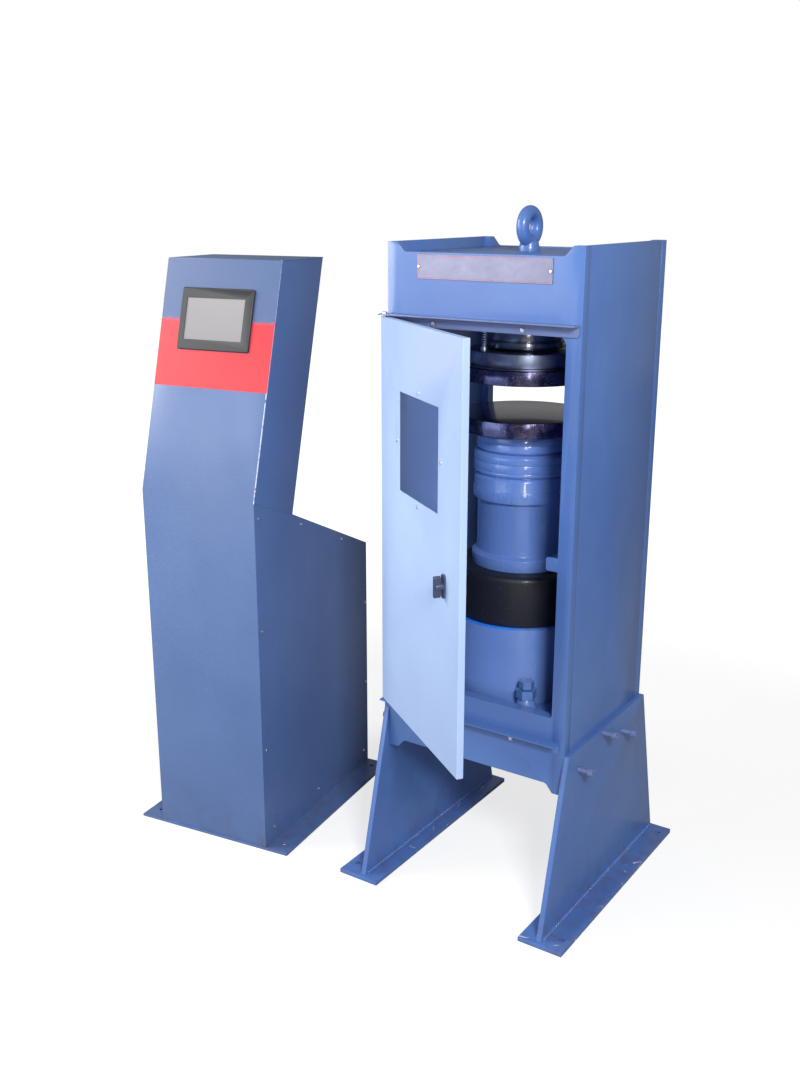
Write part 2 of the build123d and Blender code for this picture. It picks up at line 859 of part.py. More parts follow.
# Spacers: turned steel, each with a recess below that drops over the spigot of the piece it stands on
recess_r = spigot_r + spigot_clearance
recess = spigot_height + 1
tall_band_bottom = tall_top - tall_head - tall_band
with BuildPart() as spacer_tall:
    z = cover_head
    turned([
        (0, z + recess), (recess_r, z + recess), (recess_r, z), (tall_flange_r, z),
        (tall_flange_r, z + tall_flange),
        (tall_body_r, z + tall_flange + 8), (tall_body_r, tall_band_bottom),
        (tall_band_r, tall_band_bottom),
        (tall_band_r, tall_band_bottom + tall_band), (tall_head_r, tall_band_bottom + tall_band),
        (tall_head_r, tall_top - groove_chamfer), (tall_head_r - groove_chamfer, tall_top),
        (spigot_r, tall_top), (spigot_r, tall_top + spigot_height), (0, tall_top + spigot_height),
    ])
spacer_tall.part.label = "spacer_tall"
export_step(spacer_tall.part, "parts/spacer_tall.step")

# Two short spacers with turned lines round them and chamfers that meet in a V at each joint
for name, foot, height, r, lines, upper_chamfer in (
    ("spacer_mid", tall_top, mid_height, mid_r, (0.22, 0.58), groove_chamfer),
    ("spacer_top", mid_top, top_height, top_r, (0.45, 0.73), groove_chamfer / 6),
):
    with BuildPart() as spacer:
        head = foot + height
        turned([
            (0, foot + recess), (recess_r, foot + recess), (recess_r, foot), (r - groove_chamfer, foot),
            (r, foot + groove_chamfer), (r, head - upper_chamfer), (r - upper_chamfer, head),
            (spigot_r, head), (spigot_r, head + spigot_height), (0, head + spigot_height),
        ])
        for share in lines:
            with BuildSketch(Plane.XY.offset(foot + share * height)):
                Circle(r + 1)
                Circle(r - line_depth, mode=Mode.SUBTRACT)
            extrude(amount=line_width, mode=Mode.SUBTRACT)
    spacer.part.label = name
    export_step(spacer.part, f"parts/{name}.step")

with BuildPart() as lower_platen:
    turned([
        (0, top_top + recess), (recess_r, top_top + recess), (recess_r, top_top),
        (platen_r - platen_edge, top_top),
        (platen_r, top_top + platen_edge), (platen_r, table_top - platen_edge),
        (platen_r - platen_edge, table_top),
        (0, table_top),
    ])
lower_platen.part.label = "lower_platen"
export_step(lower_platen.part, "parts/lower_platen.step")

# Upper platen and the ball disc on its back; the ball's centre is the middle of the platen's face
with BuildPart() as upper_platen:
    turned([
        (0, upper_face), (platen_r - platen_edge, upper_face), (platen_r, upper_face + platen_edge),
        (platen_r, upper_back - platen_back_edge), (platen_r - platen_back_edge, upper_back),
        (0, upper_back),
    ])
upper_platen.part.label = "upper_platen"
export_step(upper_platen.part, "parts/upper_platen.step")

ball_rise = disc_top - upper_face
with BuildPart() as ball_disc:
    turned([
        (0, upper_back), (disc_r - platen_edge, upper_back), (disc_r, upper_back + platen_edge),
        (disc_r, disc_top - platen_edge), (disc_r - platen_edge, disc_top), (0, disc_top),
    ])
    with BuildSketch(Plane.XZ):
        with Locations((0, upper_face)):
            Circle(ball_r)
        with Locations((-ball_r, upper_face)):
            Rectangle(2 * ball_r, 2 * ball_r, mode=Mode.SUBTRACT)
        with Locations((0, disc_top - ball_r - 1)):
            Rectangle(2 * ball_r, 2 * ball_r, mode=Mode.SUBTRACT)
    revolve(axis=Axis.Z)
    with BuildSketch(Plane.XY.offset(disc_top)):
        with PolarLocations(hanger_reach, hangers):
            Circle(hanger_bolt_r + thread_clearance)
    extrude(amount=-hanger_bolt_grip - 1, mode=Mode.SUBTRACT)
ball_disc.part.label = "ball_disc"
export_step(ball_disc.part, "parts/ball_disc.step")

# Spindle under the crosshead: a thick stub whose foot is the socket for the ball, held by its neck
rim_top = seat_bottom + socket_rim
with BuildPart() as spindle:
    turned([
        (0, seat_bottom), (socket_rim_r, seat_bottom), (socket_rim_r, rim_top - 1.5),
        (spindle_r - 1.5, rim_top),
        (spindle_r - 1.5, rim_top + 1.5), (spindle_r, rim_top + 3), (spindle_r, crosshead_bottom),
        (spindle_neck_r, crosshead_bottom), (spindle_neck_r, crosshead_bottom + spindle_neck),
        (0, crosshead_bottom + spindle_neck),
    ])
    with BuildSketch(Plane.XZ):
        with Locations((0, upper_face)):
            Circle(ball_r + soft_gap)
        with Locations((-ball_r * 1.5, upper_face)):
            Rectangle(3 * ball_r, 3 * ball_r, mode=Mode.SUBTRACT)
    revolve(axis=Axis.Z, mode=Mode.SUBTRACT)
spindle.part.label = "spindle"
export_step(spindle.part, "parts/spindle.step")

# Three hangers hold the ball up in its socket: a bolt in the disc, a bolt in the crosshead, and a
# coil spring stretched between the grooves of their heads
for name, seat, outward_step in (
    ("disc_hanger_bolts", disc_top, 1),
    ("crosshead_hanger_bolts", crosshead_bottom, -1),
):
    with BuildPart() as hanger_bolts:
        with BuildSketch(Plane.XY.offset(seat - outward_step * hanger_bolt_grip)):
            with PolarLocations(hanger_reach, hangers):
                Circle(hanger_bolt_r)
        extrude(amount=outward_step * (hanger_bolt_grip + hanger_head * 1.5))
        with BuildSketch(Plane.XY.offset(seat)):
            with PolarLocations(hanger_reach, hangers):
                Circle(hanger_head_r)
        extrude(amount=outward_step * hanger_head)
    hanger_bolts.part.label = name
    export_step(hanger_bolts.part, f"parts/{name}.step")

spring_foot = disc_top + hanger_head + spring_wire_r + thread_clearance
spring_length = crosshead_bottom - hanger_head - spring_wire_r - thread_clearance - spring_foot
with BuildPart() as coil:
    with BuildLine():
        wire = Helix(pitch=spring_length / spring_turns, height=spring_length, radius=spring_r)
    with BuildSketch(Plane(origin=wire @ 0, z_dir=wire % 0)):
        RegularPolygon(spring_wire_r, 6)
    sweep(path=wire, is_frenet=True)
with BuildPart() as hanger_springs:
    with Locations((0, 0, spring_foot)):
        with PolarLocations(hanger_reach, hangers):
            add(coil.part)
hanger_springs.part.label = "hanger_springs"
export_step(hanger_springs.part, "parts/hanger_springs.step")

# Console outline seen from its side: depth behind the front face, then height
lean = radians(head_lean)
kink = (0, kink_height)
head_front_top = (head_front * sin(lean), kink_height + head_front * cos(lean))
head_back_top = (head_front_top[0] + head_depth, head_front_top[1])
seam_slope = tan(radians(seam_fall))
seam_back_y = head_back_top[0] - (head_back_top[1] - kink_height) * tan(lean)
seam_back_y = seam_back_y / (1 + seam_slope * tan(lean))
seam_back = (seam_back_y, kink_height - seam_back_y * seam_slope)
rear_top = (console_depth, rear_height)
rear_slope = (seam_back[1] - rear_height) / (console_depth - seam_back_y)
half_console = console_width / 2
board_inner = console_width - 2 * panel_sheet
face_plane = Plane(
    origin=console_plane.from_local_coords((0, 0, kink_height)),
    x_dir=console_plane.x_dir,
    z_dir=-console_plane.y_dir * cos(lean) + console_plane.z_dir * sin(lean),
)


def sheet(section, start, width):
    """Extrude a closed section, given as (depth, height), across the console from start."""
    with BuildSketch(facing_side(console_plane, start)) as side_view:
        outline(*section)
    extrude(side_view.sketch, amount=width)


def inward(fold):
    """The vertical or level thickness that a sheet of the head needs where it leans."""
    return fold / cos(lean)


# Side panel screws: up the front, along the base, up the back and down the slope behind the head
slope_places = [
    (seam_back_y + (console_depth - seam_back_y) * share,
     seam_back[1] - (seam_back[1] - rear_height) * share - panel_screw_drop)
    for share in (0.107, 0.635)
]
panel_screw_places = (
    [(panel_screw_front, kink_height * share) for share in (0.297, 0.644, 0.956)]
    + [(console_depth * share, panel_screw_low) for share in (0.08, 0.487, 0.955)]
    + [(console_depth - panel_screw_back, rear_height * share) for share in (0.38, 0.742)]
    + slope_places
)

# Base plate with an upstand along each side for the side panels' lowest screws
screws_low = [place for place in panel_screw_places if place[1] < base_upstand]
screws_high = [place for place in panel_screw_places if place[1] >= base_upstand]
hole_x = half_console + base_strip / 2
with BuildPart() as console_base:
    with BuildSketch(console_plane):
        with Locations((0, (console_depth + base_toe) / 2 - base_toe)):
            Rectangle(console_width + 2 * base_strip, console_depth + base_toe)
        with Locations(*[(side * hole_x, y) for side in (-1, 1)
                         for y in (base_hole_inset, console_depth - base_hole_inset)]):
            Circle(base_hole_r, mode=Mode.SUBTRACT)
    extrude(amount=base_plate)
    for side in (-1, 1):
        with BuildSketch(facing_side(console_plane, side * (half_console - panel_sheet))):
            outline((return_width, 0), (console_depth - panel_sheet, 0),
                    (console_depth - panel_sheet, base_upstand), (return_width, base_upstand))
            with Locations(*screws_low):
                Circle(panel_screw_r + thread_clearance, mode=Mode.SUBTRACT)
        extrude(amount=-side * panel_sheet)
console_base.part.label = "console_base"
export_step(console_base.part, "parts/console_base.step")

# Console front: one sheet folded at the kink and over the top, with returns down both sides
front_section = [
    (0, base_plate), kink, head_front_top, head_back_top,
    (head_back_top[0] - console_sheet * tan(lean), head_back_top[1] - console_sheet),
    (head_front_top[0] + inward(console_sheet), head_front_top[1] - console_sheet),
    (console_sheet, kink_height), (console_sheet, base_plate),
]
returns = [
    (console_sheet, base_plate + 1), (console_sheet, kink_height),
    (return_width, kink_height - return_width),
    (return_width, base_plate + 1),
]
front_screws = [place for place in screws_high if place[0] < return_width]
with BuildPart() as console_front:
    sheet(front_section, -half_console, console_width)
    for side in (-1, 1):
        with BuildSketch(facing_side(console_plane, side * (half_console - panel_sheet))):
            outline(*returns)
            with Locations(*front_screws):
                Circle(panel_screw_r + thread_clearance, mode=Mode.SUBTRACT)
        extrude(amount=-side * panel_sheet)
    with BuildSketch(face_plane):
        with Locations((bezel_x, bezel_rise)):
            Rectangle(unit_width + 2, unit_height + 2)
    extrude(amount=-2 * console_sheet, mode=Mode.SUBTRACT)
console_front.part.label = "console_front"
export_step(console_front.part, "parts/console_front.step")

# Console head: both sides and the back of the leaning head, folded from one sheet
head_inside = [
    (inward(console_sheet), kink_height - seam_slope * inward(console_sheet)),
    (head_front_top[0] + inward(console_sheet), head_front_top[1] - console_sheet),
    (head_back_top[0] - console_sheet * tan(lean), head_back_top[1] - console_sheet),
    seam_back,
]
back_top = head_inside[2]
fold_rise = seam_slope * inward(panel_sheet) / (1 + seam_slope * tan(lean))
back_section = [
    back_top, seam_back,
    (seam_back[0] - inward(panel_sheet) + fold_rise * tan(lean), seam_back[1] + fold_rise),
    (back_top[0] - inward(panel_sheet), back_top[1]),
]
with BuildPart() as console_head:
    sheet(head_inside, -half_console, panel_sheet)
    sheet(head_inside, half_console - panel_sheet, panel_sheet)
    sheet(back_section, -half_console, console_width)
console_head.part.label = "console_head"
export_step(console_head.part, "parts/console_head.step")

# Side panels under the head, screwed to the returns of the other sheets
side_section = [
    (console_sheet, base_plate), (console_sheet, kink_height - seam_slope * console_sheet), seam_back,
    rear_top, (console_depth, base_plate),
]
for side, name in ((-1, "console_side_left"), (1, "console_side_right")):
    with BuildPart() as side_panel:
        with BuildSketch(facing_side(console_plane, side * half_console)):
            outline(*side_section)
            with Locations(*panel_screw_places):
                Circle(panel_screw_r + thread_clearance, mode=Mode.SUBTRACT)
        extrude(amount=-side * panel_sheet)
    side_panel.part.label = name
    export_step(side_panel.part, f"parts/{name}.step")

# Rear cover: slopes down behind the head and folds down the back, with returns inside the side panels
deep = return_width
rear_section = [
    seam_back, rear_top, (console_depth, base_plate), (console_depth - panel_sheet, base_plate),
    (console_depth - panel_sheet, rear_height - panel_sheet * 0.8),
    (seam_back[0], seam_back[1] - panel_sheet * 1.1),
]
rear_returns = [
    (seam_back[0], seam_back[1] - panel_sheet), (console_depth - panel_sheet, rear_height - panel_sheet),
    (console_depth - panel_sheet, base_upstand + 2), (console_depth - deep, base_upstand + 2),
    (console_depth - deep, rear_height - deep), (seam_back[0], seam_back[1] - deep * 1.6),
]
rear_screws = [place for place in screws_high if place[0] >= return_width]
with BuildPart() as console_rear_cover:
    sheet(rear_section, panel_sheet - half_console, board_inner)
    for side in (-1, 1):
        with BuildSketch(facing_side(console_plane, side * (half_console - panel_sheet))):
            outline(*rear_returns)
            with Locations(*rear_screws):
                Circle(panel_screw_r + thread_clearance, mode=Mode.SUBTRACT)
        extrude(amount=-side * panel_sheet)
console_rear_cover.part.label = "console_rear_cover"
export_step(console_rear_cover.part, "parts/console_rear_cover.step")

with BuildPart() as console_screws:
    for side in (-1, 1):
        with BuildSketch(facing_side(console_plane, side * half_console)):
            with Locations(*panel_screw_places):
                Circle(panel_screw_r)
        extrude(amount=-side * panel_screw_length)
        with BuildSketch(facing_side(console_plane, side * half_console)):
            with Locations(*panel_screw_places):
                Circle(panel_screw_head_r)
        extrude(amount=side * panel_screw_head)
console_screws.part.label = "console_screws"
export_step(console_screws.part, "parts/console_screws.step")

# Printed overlay on the sloping face, cut out round the screen's bezel
with BuildPart() as console_overlay:
    with BuildSketch(face_plane):
        with Locations((0, (overlay_bottom + overlay_top) / 2)):
            Rectangle(console_width, overlay_top - overlay_bottom)
        with Locations((bezel_x, bezel_rise)):
            Rectangle(bezel_width + 2 * overlay_gap, bezel_height + 2 * overlay_gap, mode=Mode.SUBTRACT)
    extrude(amount=overlay_thick)
console_overlay.part.label = "console_overlay"
export_step(console_overlay.part, "parts/console_overlay.step")

# Touch screen unit: a bezel on the face, its body through the cut-out, and the glass in its recess
with BuildPart() as screen_bezel:
    with BuildSketch(face_plane):
        with Locations((bezel_x, bezel_rise)):
            RectangleRounded(bezel_width, bezel_height, bezel_round)
    extrude(amount=bezel_proud)
    chamfer(screen_bezel.faces().sort_by(outward(face_plane))[-1].edges(), bezel_proud * 0.25)
    with BuildSketch(face_plane):
        with Locations((bezel_x, bezel_rise)):
            Rectangle(unit_width, unit_height)
    extrude(amount=-unit_depth)
    with BuildSketch(face_plane.offset(bezel_proud)):
        with Locations((screen_x, bezel_rise)):
            Rectangle(screen_width, screen_height)
    extrude(amount=-screen_recess - screen_glass, mode=Mode.SUBTRACT)
screen_bezel.part.label = "screen_bezel"
export_step(screen_bezel.part, "parts/screen_bezel.step")

with BuildPart() as touch_glass:
    with BuildSketch(face_plane.offset(bezel_proud - screen_recess - screen_glass)):
        with Locations((screen_x, bezel_rise)):
            Rectangle(screen_width, screen_height)
    extrude(amount=screen_glass)
touch_glass.part.label = "touch_glass"
export_step(touch_glass.part, "parts/touch_glass.step")

# Oil tank, an open box on the base plate, and its lid that carries the pump set
tank_y = tank_front + tank_depth / 2
tank_top = base_plate + tank_height
lid_top = tank_top + lid_thick
with BuildPart() as oil_tank:
    with BuildSketch(console_plane.offset(base_plate)):
        with Locations((0, tank_y)):
            Rectangle(tank_width, tank_depth)
    extrude(amount=tank_height)
    with BuildSketch(console_plane.offset(base_plate + tank_wall)):
        with Locations((0, tank_y)):
            Rectangle(tank_width - 2 * tank_wall, tank_depth - 2 * tank_wall)
    extrude(amount=tank_height, mode=Mode.SUBTRACT)
oil_tank.part.label = "oil_tank"
export_step(oil_tank.part, "parts/oil_tank.step")

with BuildPart() as tank_lid:
    with BuildSketch(console_plane.offset(tank_top)):
        with Locations((0, tank_y)):
            Rectangle(tank_width + 2 * lid_rim, tank_depth + 2 * lid_rim)
        with Locations((motor_x, motor_y)):
            Circle(shaft_r + 2, mode=Mode.SUBTRACT)
    extrude(amount=lid_thick)
tank_lid.part.label = "tank_lid"
export_step(tank_lid.part, "parts/tank_lid.step")

# Motor standing on the lid: flange, ribbed casing, and a bore from below for the shaft
with BuildPart() as pump_motor:
    with BuildSketch(console_plane.offset(lid_top)):
        with Locations((motor_x, motor_y)):
            Circle(motor_flange_r)
    extrude(amount=motor_flange)
    with BuildSketch(console_plane.offset(lid_top)):
        with Locations((motor_x, motor_y)):
            Circle(motor_r)
    extrude(amount=motor_height)
    fin_pitch = (motor_height - motor_flange) / (motor_fins + 1)
    for fin in range(motor_fins):
        with BuildSketch(console_plane.offset(lid_top + motor_flange + (fin + 0.8) * fin_pitch)):
            with Locations((motor_x, motor_y)):
                Circle(motor_fin_r)
        extrude(amount=fin_pitch * 0.4)
    with BuildSketch(console_plane.offset(lid_top)):
        with Locations((motor_x, motor_y)):
            Circle(shaft_r + running_clearance)
    extrude(amount=shaft_into_motor + 1, mode=Mode.SUBTRACT)
pump_motor.part.label = "pump_motor"
export_step(pump_motor.part, "parts/pump_motor.step")

# Motor shaft with its coupling inside the tank
with BuildPart() as motor_shaft:
    with BuildSketch(console_plane.offset(tank_top - shaft_reach)):
        with Locations((motor_x, motor_y)):
            Circle(shaft_r)
    extrude(amount=shaft_reach + lid_thick + shaft_into_motor)
    with BuildSketch(console_plane.offset(tank_top - shaft_reach)):
        with Locations((motor_x, motor_y)):
            Circle(coupling_r)
    extrude(amount=coupling_height)
motor_shaft.part.label = "motor_shaft"
export_step(motor_shaft.part, "parts/motor_shaft.step")

# Gear pump hung under the lid by its bell housing, which closes round the coupling
pump_top = tank_top - shaft_reach - pump_gap
with BuildPart() as gear_pump:
    with BuildSketch(console_plane.offset(pump_top)):
        with Locations((motor_x, motor_y)):
            Rectangle(pump_width, pump_width)
    extrude(amount=-pump_height)
    with BuildSketch(console_plane.offset(pump_top)):
        with Locations((motor_x, motor_y)):
            Circle(pump_bell_r)
            Circle(pump_bell_r - pump_bell_wall, mode=Mode.SUBTRACT)
    extrude(amount=tank_top - pump_top)
gear_pump.part.label = "gear_pump"
export_step(gear_pump.part, "parts/gear_pump.step")

# Valve manifold on the lid, with the solenoid valve and the pressure transducer on top of it
manifold_top = lid_top + manifold_height
with BuildPart() as valve_manifold:
    with BuildSketch(console_plane.offset(lid_top)):
        with Locations((manifold_x, manifold_y)):
            Rectangle(manifold_size, manifold_size)
    extrude(amount=manifold_height)
valve_manifold.part.label = "valve_manifold"
export_step(valve_manifold.part, "parts/valve_manifold.step")

valve_y = manifold_y + (manifold_size - valve_size) / 2
with BuildPart() as solenoid_valve:
    with BuildSketch(console_plane.offset(manifold_top)):
        with Locations((manifold_x, valve_y)):
            Rectangle(valve_size, valve_size)
    extrude(amount=valve_height)
    with BuildSketch(console_plane.offset(manifold_top + valve_height)):
        with Locations((manifold_x, valve_y)):
            Circle(coil_r)
    extrude(amount=coil_height)
solenoid_valve.part.label = "solenoid_valve"
export_step(solenoid_valve.part, "parts/solenoid_valve.step")

with BuildPart() as pressure_transducer:
    with BuildSketch(console_plane.offset(manifold_top)):
        with Locations((manifold_x, manifold_y - (manifold_size - 2 * transducer_r) / 2)):
            RegularPolygon(transducer_r, 6)
    extrude(amount=transducer_height * 0.3)
    with BuildSketch(console_plane.offset(manifold_top + transducer_height * 0.3)):
        with Locations((manifold_x, manifold_y - (manifold_size - 2 * transducer_r) / 2)):
            Circle(transducer_r * 0.75)
    extrude(amount=transducer_height * 0.7)
pressure_transducer.part.label = "pressure_transducer"
export_step(pressure_transducer.part, "parts/pressure_transducer.step")

# Control board on four posts on the inside of the head's back, with its modules in a row
back_plane = Plane(
    origin=console_plane.from_local_coords((0, seam_back[0] - inward(panel_sheet), seam_back[1])),
    x_dir=console_plane.x_dir,
    z_dir=-console_plane.y_dir * cos(lean) + console_plane.z_dir * sin(lean),
)
with BuildPart() as control_board:
    with BuildSketch(back_plane.offset(board_stand)):
        with Locations((0, board_rise)):
            Rectangle(board_width, board_height)
    extrude(amount=board_thick)
    with BuildSketch(back_plane):
        with Locations((0, board_rise)):
            with GridLocations(board_width - 20, board_height - 20, 2, 2):
                Circle(4)
    extrude(amount=board_stand)
    with BuildSketch(back_plane.offset(board_stand + board_thick)):
        with Locations(
            (-board_width / 4, board_rise - board_height / 4),
            (board_width / 4, board_rise - board_height / 4),
        ):
            Rectangle(board_width * 0.4, board_height * 0.3)
    extrude(amount=module_depth)
control_board.part.label = "control_board"
export_step(control_board.part, "parts/control_board.step")
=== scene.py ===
# %% [markdown]
# # A compression testing machine
#
# Two units stand on one floor. The load frame crushes a specimen between two round platens: a
# hydraulic jack lifts the lower one, and the upper one hangs on a ball seat so that it can settle
# flat on the specimen. The console beside it holds the pump, the valves and a sloping screen.
# The solids come from the CAD model, in metres and already in place, so this lesson is about what
# a drawing leaves out: rounded edges, welds, smooth turned faces, paint, oil and light.

import json
from math import cos, radians, sin, tan

import bpy
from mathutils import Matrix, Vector


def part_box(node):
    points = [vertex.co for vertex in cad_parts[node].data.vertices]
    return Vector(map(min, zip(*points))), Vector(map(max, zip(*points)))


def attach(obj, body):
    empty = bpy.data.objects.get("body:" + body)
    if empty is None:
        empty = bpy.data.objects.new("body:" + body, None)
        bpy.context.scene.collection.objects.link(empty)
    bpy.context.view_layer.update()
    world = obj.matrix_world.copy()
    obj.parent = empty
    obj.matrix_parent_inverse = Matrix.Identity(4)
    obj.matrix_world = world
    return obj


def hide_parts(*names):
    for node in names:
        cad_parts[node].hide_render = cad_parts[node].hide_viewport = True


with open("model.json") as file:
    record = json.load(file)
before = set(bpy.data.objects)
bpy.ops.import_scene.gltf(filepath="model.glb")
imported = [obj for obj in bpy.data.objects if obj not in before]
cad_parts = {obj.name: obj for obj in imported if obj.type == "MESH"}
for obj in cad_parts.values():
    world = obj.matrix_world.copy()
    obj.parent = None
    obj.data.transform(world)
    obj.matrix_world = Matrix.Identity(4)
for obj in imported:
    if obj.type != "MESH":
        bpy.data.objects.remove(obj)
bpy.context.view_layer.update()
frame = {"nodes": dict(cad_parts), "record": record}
bodies = frame["record"]["behaviour"]["bodies"]
body_of = {node: body for body, nodes in bodies.items() for node in nodes}
mm = 0.001

# %% [markdown]
# ## Where the camera stood
#
# A camera could be placed by eye, but then nobody knows whether a piece looks wrong because of its
# shape or because of the view. So this one was fitted to some two dozen corners of the load frame
# and its feet, picked in the photo: what is in the right place on the machine is in the right place
# in the picture. It stands to the right, at about the height of a person's eye, and looks down.

# %% Camera
camera_data = bpy.data.cameras.new("photo_camera")
camera_data.sensor_width = 36
camera_data.lens = 39.443
camera = bpy.data.objects.new("photo_camera", camera_data)
camera.location = (1.2142, -2.2857, 1.5603)
camera.rotation_euler = (radians(73.943), 0, radians(34.1126))
bpy.context.scene.collection.objects.link(camera)
bpy.context.scene.camera = camera
print("camera at", tuple(camera.location))

# %% [markdown]
# ## Sums on sockets
#
# A material is a small calculation that runs at each point of the surface: some noise, a threshold,
# a product. Written as nodes it takes a page, and written as sums it takes a line. So a class wraps
# a node's output and turns + - * into Math nodes.


# %% A channel
class Channel:
    """The output of a node. Sums of channels and numbers add Math nodes to the same finish."""

    def __init__(self, finish, socket):
        self.finish = finish
        self.socket = socket

    def __getitem__(self, output):
        return Channel(self.finish, self.socket.node.outputs[output])

    def math(self, operation, first, second=0.0, clamp=False):
        settings = {"operation": operation, "use_clamp": clamp}
        return self.finish.node("ShaderNodeMath", settings, {0: first, 1: second})

    def __add__(self, other):
        return self.math("ADD", self, other)

    def __radd__(self, other):
        return self.math("ADD", other, self)

    def __sub__(self, other):
        return self.math("SUBTRACT", self, other)

    def __rsub__(self, other):
        return self.math("SUBTRACT", other, self)

    def __mul__(self, other):
        return self.math("MULTIPLY", self, other)

    def __abs__(self):
        return self.math("ABSOLUTE", self)

    def larger(self, other):
        """This or the other, whichever is larger."""
        return self.math("MAXIMUM", self, other)

    def above(self, level):
        """1 where this is over level, else 0."""
        return self.math("GREATER_THAN", self, level)

    def ramp(self, low, high):
        """0 up to low, 1 from high on, straight between. With low the larger it runs downward."""
        return self.math("MULTIPLY", self - low, 1 / (high - low), clamp=True)


print("a channel adds, subtracts, multiplies and ramps")

# %% [markdown]
# ## A finish
#
# A second class wraps a material, or the world. One method adds any node and fills its sockets, and
# short ones add what nearly every finish needs: noise, a mix of two colours, a bump, a soft edge.
# Sizes are in metres, and noise is placed by the object's own coordinates, so that a finish stays
# on its piece when a joint moves it.


# %% The finish class
class Finish:
    """A material, or the world, with one method that adds any node to it."""

    def __init__(self, owner):
        if isinstance(owner, str):
            owner = bpy.data.materials.new(owner)
        owner.use_nodes = True
        self.material = owner
        self.tree = owner.node_tree
        shaders = ("BSDF_PRINCIPLED", "BACKGROUND")
        self.surface = next(n for n in self.tree.nodes if n.type in shaders)

    @property
    def place(self):
        """Where the point is on the object itself, in metres."""
        return self.node("ShaderNodeTexCoord", {}, {}, "Object")

    def node(self, kind, settings, sockets, output=0):
        new = self.tree.nodes.new(kind)
        for name, value in settings.items():
            setattr(new, name, value)
        for name, value in sockets.items():
            self.fill(new.inputs[name], value)
        return Channel(self, new.outputs[output])

    def fill(self, socket, value):
        """Link a channel to a socket, or type a plain value into it."""
        if isinstance(value, Channel):
            self.tree.links.new(value.socket, socket)
        else:
            socket.default_value = value

    def set(self, **sockets):
        """Give the surface its values; underscores stand for the spaces in a socket's name."""
        for name, value in sockets.items():
            self.fill(self.surface.inputs[name.replace("_", " ")], value)

    def base(self):
        """The colour that the surface has been given so far."""
        return Channel(self, self.surface.inputs["Base Color"].links[0].from_socket)

    def noise(self, size, detail=3.0, stretch=(1, 1, 1)):
        """Noise from 0 to 1 whose features are about this many metres across."""
        scale = tuple(share / size for share in stretch)
        spot = self.node("ShaderNodeMapping", {}, {"Vector": self.place, "Scale": scale})
        sockets = {"Vector": spot, "Scale": 1.0, "Detail": detail, "Roughness": 0.55}
        return self.node("ShaderNodeTexNoise", {}, sockets)

    def axes(self):
        """The point's own X, Y and Z in metres."""
        parts = self.node("ShaderNodeSeparateXYZ", {}, {0: self.place})
        return parts["X"], parts["Y"], parts["Z"]

    def mix(self, amount, low, high):
        """One colour into another; 6 and 7 are the colour inputs of the Mix node, 2 its output."""
        return self.node("ShaderNodeMix", {"data_type": "RGBA"}, {0: amount, 6: low, 7: high}, 2)

    def soft_edge(self, radius):
        """The surface's direction, with sharp edges turned over this many metres."""
        return self.node("ShaderNodeBevel", {"samples": 4}, {"Radius": radius})

    def bump(self, height, depth, under=None):
        """A Bump node for a height from 0 to 1 that stands for depth metres."""
        sockets = {"Height": height, "Distance": depth, "Strength": 1.0}
        if under is not None:
            sockets["Normal"] = under
        return self.node("ShaderNodeBump", {}, sockets)


print("a finish adds noise, mixes, bumps and soft edges")

# %% [markdown]
# ## Colours read off a screen
#
# The machine's colours were read off the photo as numbers from 0 to 255. A screen squeezes light
# into those numbers along a curve, and Blender adds up light itself, so the curve is undone first.
# Typed in as they are, the colours would come out too pale.


# %% Colours
def colour(red, green, blue):
    """A colour as read off a screen, 0 to 255, turned into the linear light Blender works in."""
    def linear(value):
        share = value / 255
        return share / 12.92 if share <= 0.04045 else ((share + 0.055) / 1.055) ** 2.4
    return (linear(red), linear(green), linear(blue), 1.0)


def darker(shade, red, green, blue):
    """A colour with its red, green and blue light cut to these shares."""
    return (shade[0] * red, shade[1] * green, shade[2] * blue, 1)


print("a screen's middle grey is", round(colour(128, 128, 128)[0], 3), "of full light")

# %% [markdown]
# ## The lamps
#
# The photo's light was worked out by rendering the machine under one soft box at a time and mixing
# the results until the known faces came out as bright as in the photo. A box stands high in front
# on the right for the door, one on the left for the console's slope, and a low one in front fills
# in. A small weak one stands where the slope mirrors it, for a soft glare that doesn't wash out the
# blue, and a tall narrow one beside the camera draws a line of light down the turned pieces.


# %% Lamps
def soft_box(name, place, aim, size, watts):
    lamp = bpy.data.lights.new(name, "AREA")
    lamp.shape = "RECTANGLE"
    lamp.size, lamp.size_y = size
    lamp.energy = watts
    box = bpy.data.objects.new(name, lamp)
    box.location = place
    box.rotation_euler = (Vector(aim) - Vector(place)).to_track_quat("-Z", "Y").to_euler()
    bpy.context.scene.collection.objects.link(box)


soft_box("door_box", (2.4, -2.75, 2.9), (0.0, 0.0, 0.9), (0.8, 0.8), 143)
soft_box("left_box", (-3.4, -2.0, 2.4), (-0.2, 0.0, 0.9), (2.0, 2.0), 122)
soft_box("low_box", (-1.7, -3.7, 1.3), (0.0, 0.0, 1.1), (2.2, 1.8), 30)
soft_box("slope_box", (-1.82, -3.26, 1.60), (-0.58, -0.31, 1.01), (0.35, 0.6), 5)
soft_box("strip", (1.72, -2.52, 1.45), (0.0, 0.0, 1.25), (0.16, 1.1), 11)
print("lamps:", len(bpy.data.lights))

# %% [markdown]
# ## Floor and background
#
# The machine stands on the white paper of a studio, which has no visible end. A white floor would
# light it from below far more than the photo shows. So the floor is white for the camera, with a
# little real light mixed in so that it still takes a shadow, and mid grey for everything else. The
# background does the same with its brightness.

# %% Floor and background
white = (1, 1, 1, 1)
paper_white = (0.93, 0.93, 0.93, 1)
bounce_grey = (0.40, 0.41, 0.43, 1)
near_white = 0.62
near_square, far_square = 1.6, 5.0
fill_light = 0.25


